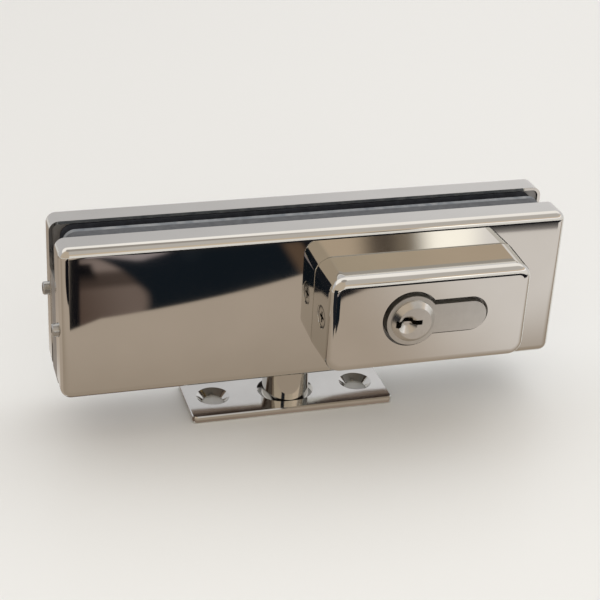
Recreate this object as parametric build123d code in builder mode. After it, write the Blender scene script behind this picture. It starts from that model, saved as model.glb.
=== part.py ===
"""Patch lock for a frameless glass door, with its strike plate.

Two pressed stainless covers hide a lock case that sits in a notch at the glass door's edge.
A half profile cylinder lies flat in a raised housing on the front cover. Its toothed cam turns a
reduction gear, whose pinion lifts a rack that is screwed to the round bolt.
Millimetres. +X runs along the lock to the right seen from the key side, +Y into the door from
the key side, +Z up. The origin is on the bolt's axis, in the plane that the strike plate lies on.
"""
import os
from math import acos, atan2, cos, degrees, pi, radians, sin, sqrt, tan

from build123d import *

os.makedirs("parts", exist_ok=True)

# Strike plate and bolt
strike_length = 68.0
strike_width = 24.0
strike_thickness = 2.5
strike_corner = 1.5
strike_edge = 0.35
strike_hole_spacing = 49.4
strike_hole = 7.0
strike_countersink = 11.0
countersink_angle = 90.0
slot_length = 18.9
slot_width = 16.0
bolt_diameter = 15.5
bolt_chamfer = 0.8
bolt_floor_clearance = 0.3
bolt_inside = 14.0

# Covers: pressed trays
door_clearance = 13.2
cover_length = 164.0
cover_height = 51.5
cover_depth = 9.5
cover_sheet = 1.0
cover_corner = 3.2
cover_edge = 2.9
rim_gap = 11.6
cover_offset = 5.5
bolt_notch_clearance = 0.6
bolt_notch_height = 4.0

# Glass slot: gaskets on the clamps and loose packing strips in place of the glass
glass_notch = 36.0
gasket_thickness = 1.0
gasket_gap = 10.8
gasket_setback = 3.4
gasket_corner = 4.0
gasket_drop = 1.3
packing_front_thickness = 3.9
packing_rear_thickness = 1.8
packing_clearance = 0.3
packing_drop = 0.5
packing_setback = 3.4

# Clamp bodies and lock case
body_clearance = 0.2
case_end_clearance = 0.2
case_bottom = 1.2
back_plate_thickness = 2.0
back_plate_bottom = 9.3
case_heel_gap = 0.8
bush_height = 6.0
bush_wall = 1.5
bush_clearance = 0.05
bore_clearance = 0.25

# Profile cylinder: the standard 17 mm round and 10 mm tail, 33 mm over both
plug_x = 30.2
plug_height = 27.1
profile_round = 17.0
profile_tail = 10.0
profile_height = 33.0
cylinder_front = 31.5
cylinder_rear = 10.0
cam_centre_y = -1.3
cam_slot = 10.0
cam_slot_reach = 9.4
profile_clearance = 0.15
plug_diameter = 12.6
plug_clearance = 0.05
flange_diameter = 14.0
flange_thickness = 2.0
flange_bevel = 1.6
spigot_diameter = 6.0
spigot_flat = 2.3
spigot_length = 11.0
dimple_diameter = 6.2
dimple_depth = 1.5
dimple_floor = 1.9
dimple_x = -2.3
dimple_z = -0.2
keyway_left = 6.0
keyway_right = 2.4
keyway_bow_top = 1.1
keyway_bow_bottom = -1.2
keyway_bow_end = 4.3
keyway_hump_top = 2.2
keyway_hump_bottom = 0.3
keyway_hump_left = 3.7
keyway_hump_right = 1.0
keyway_slant = 0.5
keyway_blade_top = 1.1
keyway_blade_bottom = -0.5
keyway_end_wall = 2.0
pin_count = 5
pin_pitch = 4.0
pin_first = 4.6
pin_diameter = 2.7
pin_bore_clearance = 0.1
bore_overlap = 1.0
plug_bore_start = 0.5
key_pin_inner = 2.6
driver_length = 3.2
spring_wall = 0.4
cap_length = 2.4
end_gap = 0.3

# Housing over the cylinder
housing_left = 3.6
housing_width = 66.4
housing_bottom = 9.7
housing_height = 32.3
housing_depth = 16.2
housing_wall = 2.0
housing_corner = 5.0
housing_edge = 3.0
housing_seam = 0.4
housing_draft = 2.0
opening_clearance = 1.0
carrier_clearance = 0.4
neck_margin = 3.2
housing_screw_y = 8.1
housing_screw_from_bottom = 16.5
housing_screw_head = 7.4
housing_screw_sink = 0.2
housing_screw_shank = 4.0
housing_screw_length = 13.0
housing_screw_cross = 3.8
housing_screw_slot = 0.9
housing_screw_recess = 1.3

# Gear train: cam and wheel of one module, pinion and rack of a finer one
pressure_angle = 25.0
wheel_module = 1.0
cam_teeth = 12
wheel_teeth = 16
rack_module = 0.8
pinion_teeth = 10
rack_addendum = 0.7
rack_dedendum = 1.05
dedendum_factor = 1.25
backlash = 0.16
gear_height = 22.1
cam_width = 9.2
cam_bore_clearance = 0.05
wheel_front = -3.9
wheel_rear = 3.3
hub_diameter = 6.6
pinion_front = -11.2
pinion_rear = -6.9
axle_diameter = 4.0
axle_clearance = 0.04
axle_blind = 0.4
circlip_thickness = 0.6
circlip_width = 1.2
circlip_mouth = 2.4
groove_depth = 0.35

# Rack
rack_front = -11.4
rack_rear = -6.8
rack_foot_rear = -5.5
rack_foot_half = 4.8
rack_bottom = 1.7
rack_top = 26.6
rack_clearance = 0.5
rack_screw_shank = 3.0
rack_screw_head = 5.6
rack_screw_length = 9.5
rack_screw_socket = 2.0
rack_screw_heights = (4.6, 10.8)

# Clamp screws, cover screws and small fasteners
clamp_screw_x = (-60.0, -26.0, 76.0)
clamp_screw_height = 14.0
clamp_screw_shank = 6.0
clamp_screw_head = 10.0
clamp_head_length = 5.6
clamp_seat = 7.6
clamp_screw_tip = -12.6
clamp_hole_clearance = 0.2
clamp_socket = 5.0
clamp_socket_depth = 2.6
socket_depth = 1.2
grub_diameter = 4.2
grub_length = 12.0
grub_proud = 2.0
grub_socket = 2.0
grub_chamfer = 0.35
front_grub_y = -10.7
front_grub_height = 23.0
rear_grub_y = 8.6
rear_grub_height = 27.6
grub_hole_clearance = 0.2
cylinder_screw_shank = 5.0
cylinder_screw_head = 8.6
cylinder_screw_in_tail = 8.0
cylinder_screw_socket = 3.0
back_screw_shank = 3.0
back_screw_head = 5.4
back_screw_length = 7.0
back_screw_socket = 2.0
back_screws = ((-70.0, 29.5), (-44.0, 29.5), (60.0, 13.5), (82.0, 18.5))
carrier_screw_shank = 3.5
carrier_screw_head = 6.2
carrier_head_length = 4.0
carrier_screw_length = 20.0
carrier_socket = 3.0
carrier_screw_from_end = 8.5
carrier_screw_from_bottom = 6.8
carrier_screw_from_top = 6.2

# Places worked out from the sizes above
cover_bottom = strike_thickness + door_clearance
cover_top = cover_bottom + cover_height
cover_left = cover_offset - cover_length / 2
cover_right = cover_offset + cover_length / 2
rim = rim_gap / 2
front_face = -rim - cover_depth
rear_face = rim + cover_depth
tray_depth = cover_depth - cover_sheet
notch_top = cover_bottom + glass_notch
body_bottom = cover_bottom + cover_sheet + body_clearance
body_top = cover_top - cover_sheet - body_clearance
body_length = cover_length - 2 * (cover_sheet + body_clearance)
body_height = body_top - body_bottom
body_front = front_face + cover_sheet + body_clearance
body_back = rear_face - cover_sheet - body_clearance
gasket_face = gasket_gap / 2
gasket_seat = gasket_face + gasket_thickness
plug_z = cover_bottom + plug_height
cylinder_face = cam_centre_y - cylinder_front
cylinder_end = cam_centre_y + cylinder_rear
tail_end = plug_x - profile_round / 2 + profile_height
gear_z = cover_bottom + gear_height
cam_radius = wheel_module * cam_teeth / 2
wheel_radius = wheel_module * wheel_teeth / 2
pinion_radius = rack_module * pinion_teeth / 2
gear_drop = plug_z - gear_z
gear_x = plug_x - sqrt((cam_radius + wheel_radius) ** 2 - gear_drop**2)
rack_line = gear_x - pinion_radius
rack_left = -rack_foot_half
bolt_throw = 2 * pi * pinion_radius * cam_teeth / wheel_teeth
bolt_top = cover_bottom + bolt_inside
housing_face = front_face - housing_depth
housing_x = housing_left + housing_width / 2
housing_z = cover_bottom + housing_bottom + housing_height / 2
back_plate_front = rim - back_plate_thickness
carrier_front = housing_face + housing_wall + carrier_clearance
carrier_seat = carrier_front + carrier_head_length
carrier_screw_x = housing_left + housing_width - carrier_screw_from_end
carrier_screw_heights = (
    housing_bottom + carrier_screw_from_bottom,
    housing_bottom + housing_height - carrier_screw_from_top,
)
carrier_screw_tip = carrier_front + carrier_screw_length
cam_rear = cam_centre_y + cam_width / 2
clip_front = cam_rear + cam_bore_clearance
mesh_angle = degrees(atan2(gear_z - plug_z, gear_x - plug_x))
housing_screw_z = cover_bottom + housing_bottom + housing_screw_from_bottom
print("bolt throw for one turn of the key", round(bolt_throw, 3))
print("gear axis", round(gear_x, 3), round(gear_z, 3), "rack pitch line", round(rack_line, 3))


def facing_front(y):
    """Plane across the lock at depth y, drawn as the key side sees it; it extrudes towards the key."""
    return Plane(origin=(0, y, 0), x_dir=(1, 0, 0), z_dir=(0, -1, 0))


def facing_left(x):
    """Plane across the lock's length at x; local x is -Y, local y is Z; it extrudes towards -X."""
    return Plane(origin=(x, 0, 0), x_dir=(0, -1, 0), z_dir=(-1, 0, 0))


def finish(builder, name):
    """Label a finished piece and write it."""
    builder.part.label = name
    export_step(builder.part, f"parts/{name}.step")


def involute(angle):
    """Involute function of an angle in radians."""
    return tan(angle) - angle


def half_tooth(radius, teeth, module):
    """Half of a tooth's angle at a radius, in radians, with half of the backlash taken off."""
    pitch_radius = module * teeth / 2
    base_radius = pitch_radius * cos(radians(pressure_angle))
    at_pitch = pi / (2 * teeth) - backlash / (4 * pitch_radius) + involute(radians(pressure_angle))
    return at_pitch - involute(acos(min(1, base_radius / radius)))


def gear_outline(teeth, module, centre, tooth_at, addendum, dedendum):
    """Closed outline of a spur gear: each flank is one arc through three points of the involute."""
    pitch_radius = module * teeth / 2
    base_radius = pitch_radius * cos(radians(pressure_angle))
    tip = pitch_radius + addendum
    root = pitch_radius - dedendum
    flank_start = max(base_radius, root)
    flank_middle = (flank_start + tip) / 2

    def point(radius, angle):
        return (centre[0] + radius * cos(angle), centre[1] + radius * sin(angle))

    step = 2 * pi / teeth
    for tooth in range(teeth):
        middle = radians(tooth_at) + tooth * step
        low = half_tooth(flank_start, teeth, module)
        half = half_tooth(flank_middle, teeth, module)
        top = half_tooth(tip, teeth, module)
        if root < base_radius:
            Line(point(root, middle - low), point(flank_start, middle - low))
            Line(point(flank_start, middle + low), point(root, middle + low))
        ThreePointArc(
            point(flank_start, middle - low), point(flank_middle, middle - half), point(tip, middle - top)
        )
        Line(point(tip, middle - top), point(tip, middle + top))
        ThreePointArc(
            point(tip, middle + top), point(flank_middle, middle + half), point(flank_start, middle + low)
        )
        Line(point(root, middle + low), point(root, middle + step - low))


def profile_outline(clearance):
    """Profile cylinder section: a round with a tail towards +X, grown by a clearance."""
    with Locations((plug_x, plug_z)):
        Circle(profile_round / 2 + clearance)
    tail_length = tail_end - plug_x
    with Locations((plug_x + tail_length / 2, plug_z)):
        SlotCenterToCenter(tail_length - profile_tail, profile_tail + 2 * clearance)


def countersunk(origin, direction, head, shank, length, socket):
    """Countersunk screw whose head is flush with the plane at origin; direction points out of it."""
    top = Plane(origin=origin, z_dir=direction)
    head_depth = (head - shank) / 2
    with BuildPart() as screw:
        with BuildSketch(top):
            Circle(head / 2)
        with BuildSketch(top.offset(-head_depth)):
            Circle(shank / 2)
        loft()
        with BuildSketch(top.offset(-head_depth)):
            Circle(shank / 2)
        extrude(amount=-(length - head_depth))
        if socket:
            with BuildSketch(top):
                RegularPolygon(socket / 2, 6, major_radius=False)
            extrude(amount=-socket_depth, mode=Mode.SUBTRACT)
    return screw.part


def bored_countersink(origin, direction, head, shank, length, clearance):
    """The hole that a countersunk screw sits in."""
    top = Plane(origin=origin, z_dir=direction)
    head_depth = (head - shank) / 2
    with BuildPart() as hole:
        with BuildSketch(top):
            Circle(head / 2 + clearance)
        with BuildSketch(top.offset(-head_depth - clearance)):
            Circle(shank / 2)
        loft()
        with BuildSketch(top):
            Circle(shank / 2 + clearance)
        extrude(amount=-length)
    return hole.part


# Strike plate: slotted for the bolt, two countersunk screw holes
with BuildPart() as strike_plate:
    with BuildSketch():
        RectangleRounded(strike_length, strike_width, strike_corner)
    extrude(amount=strike_thickness)
    chamfer(strike_plate.faces().sort_by(Axis.Z)[-1].edges(), strike_edge)
    with BuildSketch(Plane.XY.offset(strike_thickness)):
        SlotOverall(slot_length, slot_width)
    extrude(amount=-strike_thickness, mode=Mode.SUBTRACT)
    with Locations(Plane.XY.offset(strike_thickness)):
        with GridLocations(strike_hole_spacing, 0, 2, 1):
            CounterSinkHole(
                strike_hole / 2, strike_countersink / 2, counter_sink_angle=countersink_angle
            )
finish(strike_plate, "strike_plate")


# Covers: each is a pressed tray with rounded edges
def tray_block(face, toward_rim, inset):
    """Rounded block from a cover's closed face towards its rim, inset by the sheet for its hollow."""
    with BuildPart() as block:
        with BuildSketch(facing_front(face)):
            with Locations((cover_offset, cover_bottom + cover_height / 2)):
                RectangleRounded(cover_length - 2 * inset, cover_height - 2 * inset, cover_corner - inset)
        extrude(amount=-toward_rim * (cover_depth - inset))
        ends = block.faces().filter_by(Axis.Y).sort_by(Axis.Y)
        closed = ends[0] if toward_rim > 0 else ends[-1]
        fillet(closed.edges(), cover_edge - inset)
    return block.part


with BuildPart() as bolt_notch:
    with BuildSketch(Plane.XY.offset(cover_bottom - bolt_notch_height / 2)):
        Circle(bolt_diameter / 2 + bolt_notch_clearance)
    extrude(amount=bolt_notch_height)

with BuildPart() as front_cover:
    add(tray_block(front_face, 1, 0))
    add(tray_block(front_face + cover_sheet, 1, cover_sheet), mode=Mode.SUBTRACT)
    add(bolt_notch.part, mode=Mode.SUBTRACT)
    with BuildSketch(facing_front(front_face)):
        with Locations((housing_x, housing_z)):
            Rectangle(housing_width - 2 * neck_margin, housing_height - 2 * neck_margin)
    extrude(amount=-cover_sheet, mode=Mode.SUBTRACT)
    with BuildSketch(facing_left(cover_left)):
        with Locations((-front_grub_y, cover_bottom + front_grub_height)):
            Circle(grub_diameter / 2 + grub_hole_clearance)
    extrude(amount=-2 * cover_sheet, mode=Mode.SUBTRACT)
finish(front_cover, "front_cover")

with BuildPart() as rear_cover:
    add(tray_block(rear_face, -1, 0))
    add(tray_block(rear_face - cover_sheet, -1, cover_sheet), mode=Mode.SUBTRACT)
    add(bolt_notch.part, mode=Mode.SUBTRACT)
    with BuildSketch(facing_left(cover_left)):
        with Locations((-rear_grub_y, cover_bottom + rear_grub_height)):
            Circle(grub_diameter / 2 + grub_hole_clearance)
    extrude(amount=-2 * cover_sheet, mode=Mode.SUBTRACT)
finish(rear_cover, "rear_cover")


# Cutters that several bodies share, so that each hole follows its own screw or shaft
def cylinder_along_y(x, z, radius, from_y, to_y):
    """Round bar along Y, used for shafts' and screws' holes."""
    with BuildPart() as bar:
        with BuildSketch(facing_front(to_y)):
            with Locations((x, z)):
                Circle(radius)
        extrude(amount=to_y - from_y)
    return bar.part


def profile_bar(clearance, from_y, to_y):
    """Bar of the profile cylinder's section along Y."""
    with BuildPart() as bar:
        with BuildSketch(facing_front(to_y)):
            profile_outline(clearance)
        extrude(amount=to_y - from_y)
    return bar.part


clamp_holes = [
    cylinder_along_y(
        x,
        cover_bottom + clamp_screw_height,
        clamp_screw_shank / 2 + clamp_hole_clearance,
        clamp_screw_tip - clamp_hole_clearance,
        body_back,
    )
    for x in clamp_screw_x
]
bolt_radius = bolt_diameter / 2
bush_outer = bolt_radius + bush_clearance + bush_wall
bush_bottom = body_bottom
with BuildPart() as bolt_way_builder:
    with BuildSketch(Plane.XY.offset(cover_bottom)):
        Circle(bolt_radius + bore_clearance)
    extrude(amount=bolt_inside + bolt_throw + rack_clearance)
    with BuildSketch(Plane.XY.offset(cover_bottom)):
        Circle(bush_outer)
    extrude(amount=bush_bottom - cover_bottom + bush_height)
bolt_way = bolt_way_builder.part
profile_way = profile_bar(profile_clearance, housing_face, rear_face)
channel_left = rack_left - rack_clearance
channel_right = gear_x + pinion_radius + rack_module + rack_clearance
channel_front = rack_front - rack_clearance
channel_top = cover_bottom + rack_top + bolt_throw + 2 * rack_clearance

# Clamp bodies: the castings inside the covers, level with the rims but for the gaskets' recess
with BuildPart() as front_clamp:
    with BuildSketch(facing_front(-rim)):
        with Locations((cover_offset, (body_bottom + body_top) / 2)):
            RectangleRounded(body_length, body_height, cover_corner - cover_sheet)
    extrude(amount=-rim - body_front)
    closed = front_clamp.faces().filter_by(Axis.Y).sort_by(Axis.Y)[0]
    fillet(closed.edges(), cover_edge - cover_sheet)
    with BuildSketch(facing_front(-rim)):
        with Locations((cover_offset, (notch_top + cover_top) / 2)):
            Rectangle(body_length, cover_top - notch_top)
    extrude(amount=gasket_seat - rim, mode=Mode.SUBTRACT)
    with BuildSketch(facing_front(-rim)):
        with Locations(((channel_left + channel_right) / 2, (body_bottom + channel_top) / 2)):
            Rectangle(channel_right - channel_left, channel_top - body_bottom)
    extrude(amount=-rim - channel_front, mode=Mode.SUBTRACT)
    add(bolt_way, mode=Mode.SUBTRACT)
    add(profile_way, mode=Mode.SUBTRACT)
    for hole in clamp_holes:
        add(hole, mode=Mode.SUBTRACT)
    axle_hole = cylinder_along_y(gear_x, gear_z, axle_diameter / 2, body_front + axle_blind, -rim)
    add(axle_hole, mode=Mode.SUBTRACT)
    for height in carrier_screw_heights:
        tapped = cylinder_along_y(
            carrier_screw_x,
            cover_bottom + height,
            carrier_screw_shank / 2,
            body_front,
            carrier_screw_tip + end_gap,
        )
        add(tapped, mode=Mode.SUBTRACT)
    with BuildSketch(facing_left(cover_left)):
        with Locations((-front_grub_y, cover_bottom + front_grub_height)):
            Circle(grub_diameter / 2)
    extrude(amount=-(grub_length - grub_proud), mode=Mode.SUBTRACT)
finish(front_clamp, "front_clamp")

with BuildPart() as rear_clamp:
    with BuildSketch(facing_front(body_back)):
        with Locations((cover_offset, (body_bottom + body_top) / 2)):
            RectangleRounded(body_length, body_height, cover_corner - cover_sheet)
    extrude(amount=body_back - rim)
    closed = rear_clamp.faces().filter_by(Axis.Y).sort_by(Axis.Y)[-1]
    fillet(closed.edges(), cover_edge - cover_sheet)
    with BuildSketch(facing_front(gasket_seat)):
        with Locations((cover_offset, (notch_top + cover_top) / 2)):
            Rectangle(body_length, cover_top - notch_top)
    extrude(amount=gasket_seat - rim, mode=Mode.SUBTRACT)
    add(bolt_way, mode=Mode.SUBTRACT)
    add(profile_way, mode=Mode.SUBTRACT)
    for hole in clamp_holes:
        add(hole, mode=Mode.SUBTRACT)
    for x in clamp_screw_x:
        seat_hole = cylinder_along_y(
            x,
            cover_bottom + clamp_screw_height,
            clamp_screw_head / 2 + clamp_hole_clearance,
            clamp_seat,
            body_back,
        )
        add(seat_hole, mode=Mode.SUBTRACT)
    with BuildSketch(facing_left(cover_left)):
        with Locations((-rear_grub_y, cover_bottom + rear_grub_height)):
            Circle(grub_diameter / 2)
    extrude(amount=-(grub_length - grub_proud), mode=Mode.SUBTRACT)
finish(rear_clamp, "rear_clamp")

# Lock case: the block in the glass notch, level with the covers' ends
case_left = cover_left + case_end_clearance
case_right = cover_right - case_end_clearance
case_heel = rim - case_heel_gap
heel_top = cover_bottom + back_plate_bottom
with BuildPart() as lock_case:
    with BuildSketch(Plane(origin=(case_left, 0, 0), x_dir=(0, 1, 0), z_dir=(1, 0, 0))):
        with BuildLine():
            Polyline(
                (-rim, cover_bottom + case_bottom),
                (case_heel, cover_bottom + case_bottom),
                (case_heel, heel_top),
                (back_plate_front, heel_top),
                (back_plate_front, notch_top),
                (-rim, notch_top),
                close=True,
            )
        make_face()
    extrude(amount=case_right - case_left)
    add(bolt_way, mode=Mode.SUBTRACT)
    add(profile_way, mode=Mode.SUBTRACT)
    for hole in clamp_holes:
        add(hole, mode=Mode.SUBTRACT)
    wheel_room = wheel_radius + wheel_module + rack_clearance
    add(cylinder_along_y(gear_x, gear_z, wheel_room, -rim, back_plate_front), mode=Mode.SUBTRACT)
    screw_way = Plane(origin=(case_right, cam_centre_y, plug_z), z_dir=(1, 0, 0))
    with BuildSketch(screw_way):
        Circle(cylinder_screw_shank / 2 + clamp_hole_clearance)
    extrude(amount=-(case_right - plug_x), mode=Mode.SUBTRACT)
    add(
        bored_countersink(
            (case_right, cam_centre_y, plug_z),
            (1, 0, 0),
            cylinder_screw_head,
            cylinder_screw_shank,
            case_right - plug_x,
            clamp_hole_clearance,
        ),
        mode=Mode.SUBTRACT,
    )
    for x, height in back_screws:
        screw_z = cover_bottom + height
        screw_end = rim - back_screw_length
        tapped = cylinder_along_y(x, screw_z, back_screw_shank / 2, screw_end, back_plate_front)
        add(tapped, mode=Mode.SUBTRACT)
finish(lock_case, "lock_case")

with BuildPart() as case_back_plate:
    with BuildSketch(facing_front(rim)):
        with Locations(((case_left + case_right) / 2, (heel_top + notch_top) / 2)):
            Rectangle(case_right - case_left, notch_top - heel_top)
    extrude(amount=back_plate_thickness)
    add(bolt_way, mode=Mode.SUBTRACT)
    add(profile_way, mode=Mode.SUBTRACT)
    add(cylinder_along_y(gear_x, gear_z, axle_diameter / 2, back_plate_front, rim), mode=Mode.SUBTRACT)
    for hole in clamp_holes:
        add(hole, mode=Mode.SUBTRACT)
    for x, height in back_screws:
        head_place = (x, rim, cover_bottom + height)
        add(
            bored_countersink(
                head_place, (0, 1, 0), back_screw_head, back_screw_shank, back_plate_thickness, 0
            ),
            mode=Mode.SUBTRACT,
        )
finish(case_back_plate, "case_back_plate")

with BuildPart() as case_screws:
    for x, height in back_screws:
        add(
            countersunk(
                (x, rim, cover_bottom + height),
                (0, 1, 0),
                back_screw_head,
                back_screw_shank,
                back_screw_length,
                back_screw_socket,
            )
        )
finish(case_screws, "case_screws")

# Guide bush round the bolt, cut off flat in front where the rack runs past it
with BuildPart() as bolt_guide:
    with BuildSketch(Plane.XY.offset(bush_bottom)):
        Circle(bush_outer)
        Circle(bolt_radius + bush_clearance, mode=Mode.SUBTRACT)
        with Locations((0, rack_foot_rear + rack_clearance - bush_outer)):
            Rectangle(2 * bush_outer, 2 * bush_outer, mode=Mode.SUBTRACT)
    extrude(amount=bush_height)
finish(bolt_guide, "bolt_guide")


# Gaskets glued to the clamp bodies, and loose packing strips in place of the glass
def strip(front, rear, setback, drop, corner):
    """Strip in the glass slot, rounded at its two top corners."""
    left = cover_left + setback
    right = cover_right - setback
    top = cover_top - drop
    bottom = notch_top + packing_clearance
    with BuildPart() as piece:
        with BuildSketch(facing_front(rear)):
            with Locations(((left + right) / 2, (bottom + top) / 2)):
                Rectangle(right - left, top - bottom)
        extrude(amount=rear - front)
        upper = piece.edges().filter_by(Axis.Y).group_by(Axis.Z)[-1]
        fillet(upper, corner)
    return piece


front_gasket = strip(-gasket_seat, -gasket_face, gasket_setback, gasket_drop, gasket_corner)
finish(front_gasket, "front_gasket")
rear_gasket = strip(gasket_face, gasket_seat, gasket_setback, gasket_drop, gasket_corner)
finish(rear_gasket, "rear_gasket")
packing_front_y = -gasket_face + packing_clearance
packing_middle_y = packing_front_y + packing_front_thickness
packing_rear_y = packing_middle_y + packing_rear_thickness
packing_strip_front = strip(packing_front_y, packing_middle_y, packing_setback, packing_drop, gasket_corner)
finish(packing_strip_front, "packing_strip_front")
packing_strip_rear = strip(packing_middle_y, packing_rear_y, packing_setback, packing_drop, gasket_corner)
finish(packing_strip_rear, "packing_strip_rear")

# Socket-head clamp screws, their heads under the rear cover
with BuildPart() as clamp_screws:
    for x in clamp_screw_x:
        seat_plane = Plane(origin=(x, clamp_seat, cover_bottom + clamp_screw_height), z_dir=(0, 1, 0))
        with BuildSketch(seat_plane):
            Circle(clamp_screw_head / 2)
        extrude(amount=clamp_head_length)
        with BuildSketch(seat_plane):
            Circle(clamp_screw_shank / 2)
        extrude(amount=-(clamp_seat - clamp_screw_tip))
        with BuildSketch(seat_plane.offset(clamp_head_length)):
            RegularPolygon(clamp_socket / 2, 6, major_radius=False)
        extrude(amount=-clamp_socket_depth, mode=Mode.SUBTRACT)
finish(clamp_screws, "clamp_screws")

# Set screws that hold the covers on at the left end
with BuildPart() as cover_set_screws:
    for y, height in ((front_grub_y, front_grub_height), (rear_grub_y, rear_grub_height)):
        tip = facing_left(cover_left - grub_proud)
        with BuildSketch(tip):
            with Locations((-y, cover_bottom + height)):
                Circle(grub_diameter / 2)
        extrude(amount=-grub_length)
        with BuildSketch(tip):
            with Locations((-y, cover_bottom + height)):
                RegularPolygon(grub_socket / 2, 6, major_radius=False)
        extrude(amount=-grub_proud, mode=Mode.SUBTRACT)
    chamfer(cover_set_screws.edges().filter_by(GeomType.CIRCLE).group_by(Axis.X)[0], grub_chamfer)
finish(cover_set_screws, "cover_set_screws")


# Housing over the cylinder: a drawn cap with a profile opening and a screw in its left wall
def housing_block(inset, depth, edge):
    """Drafted block of the housing, inset by its wall for the hollow, from the cover's face forward."""
    spread = depth * tan(radians(housing_draft))
    with BuildPart() as block:
        with BuildSketch(facing_front(front_face)):
            with Locations((housing_x, housing_z)):
                RectangleRounded(
                    housing_width - 2 * (inset - spread),
                    housing_height - 2 * (inset - spread),
                    housing_corner - inset + spread,
                )
        extrude(amount=depth, taper=housing_draft)
        front = block.faces().filter_by(Axis.Y).sort_by(Axis.Y)[0]
        fillet(front.edges(), edge)
        if not inset:
            back = block.faces().filter_by(Axis.Y).sort_by(Axis.Y)[-1]
            fillet(back.edges(), housing_seam)
    return block.part


housing_screw_x = housing_left - (housing_depth - housing_screw_y) * tan(radians(housing_draft))
housing_screw_place = (housing_screw_x, front_face - housing_screw_y, housing_screw_z)
with BuildPart() as cylinder_housing:
    add(housing_block(0, housing_depth, housing_edge))
    add(
        housing_block(housing_wall, housing_depth - housing_wall, housing_edge - housing_wall),
        mode=Mode.SUBTRACT,
    )
    add(profile_bar(opening_clearance, housing_face, housing_face + 2 * housing_wall), mode=Mode.SUBTRACT)
    add(
        bored_countersink(
            housing_screw_place,
            (-1, 0, 0),
            housing_screw_head + 2 * housing_screw_sink,
            housing_screw_shank,
            2 * housing_wall,
            0,
        ),
        mode=Mode.SUBTRACT,
    )
    with BuildSketch(facing_left(housing_screw_x)):
        with Locations((-housing_screw_place[1], housing_screw_place[2])):
            Circle(housing_screw_head / 2 + housing_screw_sink)
    extrude(amount=housing_wall, mode=Mode.SUBTRACT)
finish(cylinder_housing, "cylinder_housing")

carrier_inset = housing_wall + carrier_clearance
with BuildPart() as cylinder_carrier:
    with BuildSketch(facing_front(front_face - carrier_clearance)):
        with Locations((housing_x, housing_z)):
            RectangleRounded(
                housing_width - 2 * carrier_inset,
                housing_height - 2 * carrier_inset,
                housing_corner - housing_wall,
            )
    extrude(amount=front_face - carrier_clearance - carrier_front)
    with BuildSketch(facing_front(body_front)):
        with Locations((housing_x, housing_z)):
            neck = neck_margin + carrier_clearance
            Rectangle(housing_width - 2 * neck, housing_height - 2 * neck)
    extrude(amount=body_front - front_face + carrier_clearance)
    add(profile_way, mode=Mode.SUBTRACT)
    with BuildSketch(facing_left(housing_screw_x)):
        with Locations((-housing_screw_place[1], housing_screw_place[2])):
            Circle(housing_screw_shank / 2)
    extrude(amount=-housing_screw_length, mode=Mode.SUBTRACT)
    for height in carrier_screw_heights:
        with BuildSketch(facing_front(carrier_front)):
            with Locations((carrier_screw_x, cover_bottom + height)):
                Circle(carrier_screw_head / 2 + clamp_hole_clearance)
        extrude(amount=-carrier_head_length, mode=Mode.SUBTRACT)
        with BuildSketch(facing_front(carrier_front)):
            with Locations((carrier_screw_x, cover_bottom + height)):
                Circle(carrier_screw_shank / 2 + clamp_hole_clearance)
        extrude(amount=-housing_depth, mode=Mode.SUBTRACT)
finish(cylinder_carrier, "cylinder_carrier")

# Screws that hold the carrier on the front clamp body, their heads under the housing
with BuildPart() as carrier_screws:
    for height in carrier_screw_heights:
        seat_plane = Plane(origin=(carrier_screw_x, carrier_seat, cover_bottom + height), z_dir=(0, -1, 0))
        with BuildSketch(seat_plane):
            Circle(carrier_screw_head / 2)
        extrude(amount=carrier_head_length - clamp_hole_clearance)
        with BuildSketch(seat_plane):
            Circle(carrier_screw_shank / 2)
        extrude(amount=-(carrier_screw_tip - carrier_seat))
        with BuildSketch(seat_plane.offset(carrier_head_length - clamp_hole_clearance)):
            RegularPolygon(carrier_socket / 2, 6, major_radius=False)
        extrude(amount=-socket_depth, mode=Mode.SUBTRACT)
finish(carrier_screws, "carrier_screws")

with BuildPart() as housing_screw:
    add(
        countersunk(
            (housing_screw_x + housing_screw_sink, housing_screw_place[1], housing_screw_z),
            (-1, 0, 0),
            housing_screw_head,
            housing_screw_shank,
            housing_screw_length - housing_screw_sink,
            0,
        )
    )
    with BuildSketch(facing_left(housing_screw_x + housing_screw_sink)):
        with Locations((-housing_screw_place[1], housing_screw_place[2])):
            Rectangle(housing_screw_cross, housing_screw_slot)
            Rectangle(housing_screw_slot, housing_screw_cross)
    extrude(amount=-housing_screw_recess, mode=Mode.SUBTRACT)
finish(housing_screw, "housing_screw")

# Profile cylinder: body, plug, pin stacks, and its fixing screw from the right end
plug_radius = plug_diameter / 2
plug_end = cam_centre_y - cam_slot / 2 - plug_clearance
stack_y = [cylinder_face + pin_first + k * pin_pitch for k in range(pin_count)]
stack_radius = pin_diameter / 2 + pin_bore_clearance


def along_tail(y, start, length, radius):
    """Round bar on a pin stack's axis, starting at a distance from the plug's axis."""
    with BuildPart() as bar:
        with BuildSketch(Plane(origin=(plug_x + start, y, plug_z), z_dir=(1, 0, 0))):
            Circle(radius)
        extrude(amount=length)
    return bar.part


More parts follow.
